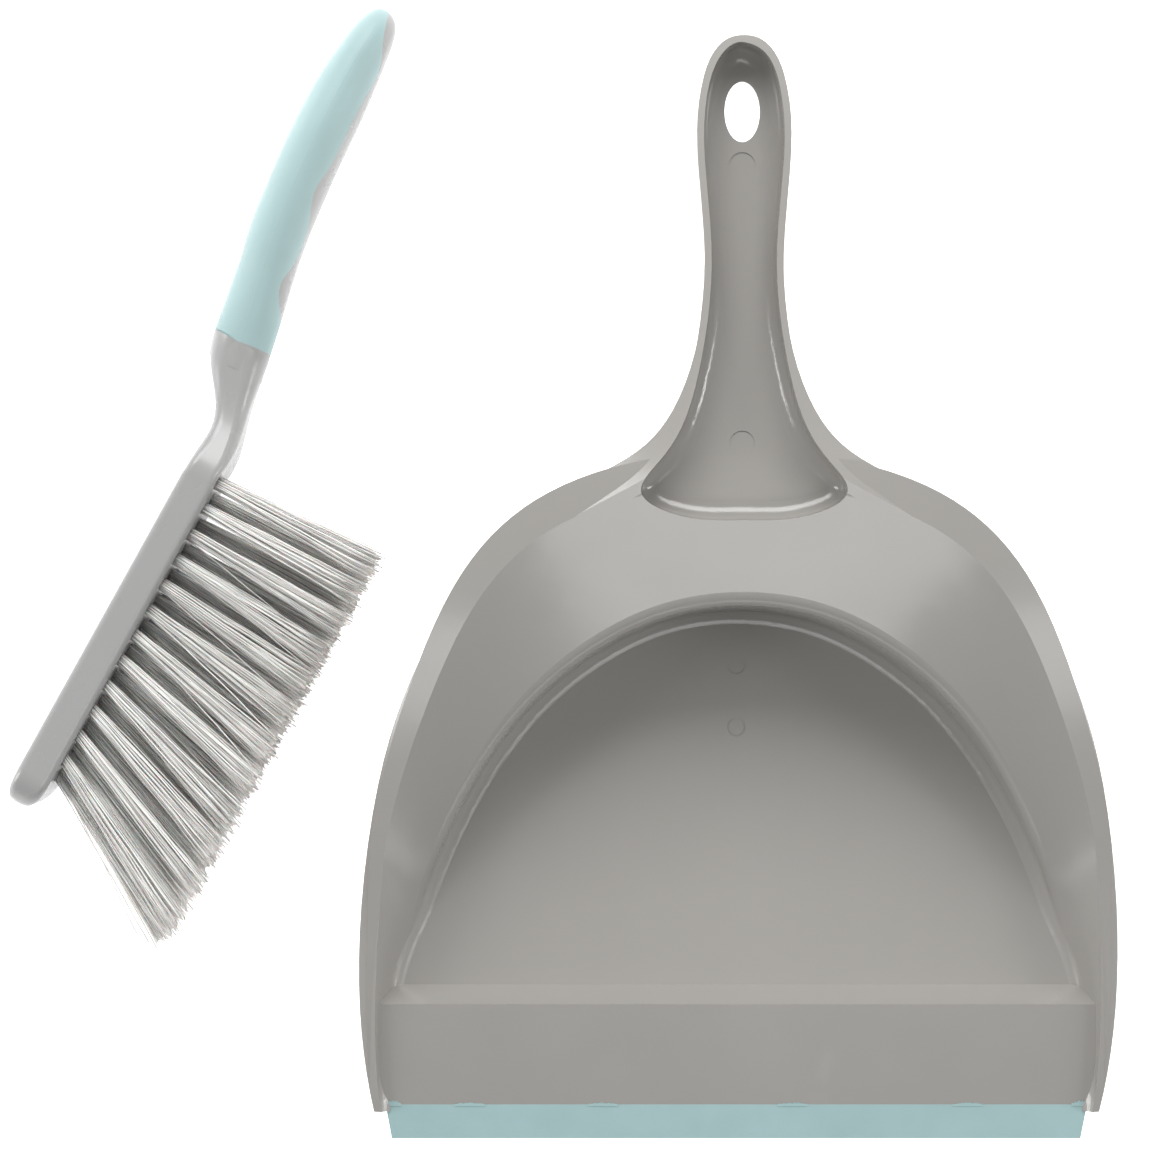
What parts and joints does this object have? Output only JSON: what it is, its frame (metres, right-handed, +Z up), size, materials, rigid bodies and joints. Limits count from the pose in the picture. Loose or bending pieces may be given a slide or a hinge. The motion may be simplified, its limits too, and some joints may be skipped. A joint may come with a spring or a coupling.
{
  "type": "dustpan and brush",
  "caption": "Dustpan with a ramped front, soft sweeping lip and channel handle with a hanging hole, and a hand brush with fanned bristle tufts lying beside it.",
  "frame": {"origin": "on the underside of the dustpan's flat base, on its plane of symmetry, under the middle of the tray floor", "axes": "+Z up, +Y from the sweeping lip to the handle, X = 0 is the dustpan's plane of symmetry, the brush lies on the -X side"},
  "size_m": [0.3265, 0.3362, 0.0502],
  "materials": {
    "pan_plastic": "glossy injection-moulded warm grey polypropylene",
    "soft_aqua": "satin pale aqua thermoplastic elastomer",
    "brush_plastic": "satin injection-moulded grey polypropylene",
    "soft_grip": "matt soft-touch pale aqua thermoplastic elastomer",
    "bristle": "pale grey crimped polymer filaments"
  },
  "bodies": {
    "dustpan": {"dustpan_body": "pan_plastic", "dustpan_lip": "soft_aqua"},
    "brush": {"brush_body": "brush_plastic", "brush_grip": "soft_grip", "bristle_tuft_1_1": "bristle", "bristle_tuft_1_2": "bristle", "bristle_tuft_1_3": "bristle", "bristle_tuft_1_4": "bristle", "bristle_tuft_1_5": "bristle", "bristle_tuft_1_6": "bristle", "bristle_tuft_1_7": "bristle", "bristle_tuft_1_8": "bristle", "bristle_tuft_1_9": "bristle", "bristle_tuft_1_10": "bristle", "bristle_tuft_1_11": "bristle", "bristle_tuft_1_12": "bristle", "bristle_tuft_2_1": "bristle", "bristle_tuft_2_2": "bristle", "bristle_tuft_2_3": "bristle", "bristle_tuft_2_4": "bristle", "bristle_tuft_2_5": "bristle", "bristle_tuft_2_6": "bristle", "bristle_tuft_2_7": "bristle", "bristle_tuft_2_8": "bristle", "bristle_tuft_2_9": "bristle", "bristle_tuft_2_10": "bristle", "bristle_tuft_2_11": "bristle", "bristle_tuft_2_12": "bristle", "bristle_tuft_3_1": "bristle", "bristle_tuft_3_2": "bristle", "bristle_tuft_3_3": "bristle", "bristle_tuft_3_4": "bristle", "bristle_tuft_3_5": "bristle", "bristle_tuft_3_6": "bristle", "bristle_tuft_3_7": "bristle", "bristle_tuft_3_8": "bristle", "bristle_tuft_3_9": "bristle", "bristle_tuft_3_10": "bristle", "bristle_tuft_3_11": "bristle", "bristle_tuft_3_12": "bristle", "bristle_tuft_4_1": "bristle", "bristle_tuft_4_2": "bristle", "bristle_tuft_4_3": "bristle", "bristle_tuft_4_4": "bristle", "bristle_tuft_4_5": "bristle", "bristle_tuft_4_6": "bristle", "bristle_tuft_4_7": "bristle", "bristle_tuft_4_8": "bristle", "bristle_tuft_4_9": "bristle", "bristle_tuft_4_10": "bristle", "bristle_tuft_4_11": "bristle", "bristle_tuft_4_12": "bristle"}
  },
  "joints": [
    {"name": "brush_lift", "type": "slide", "parent": "dustpan", "child": "brush", "axis": [0, 0, 1], "range_m": [0, 0.15]}
  ]
}
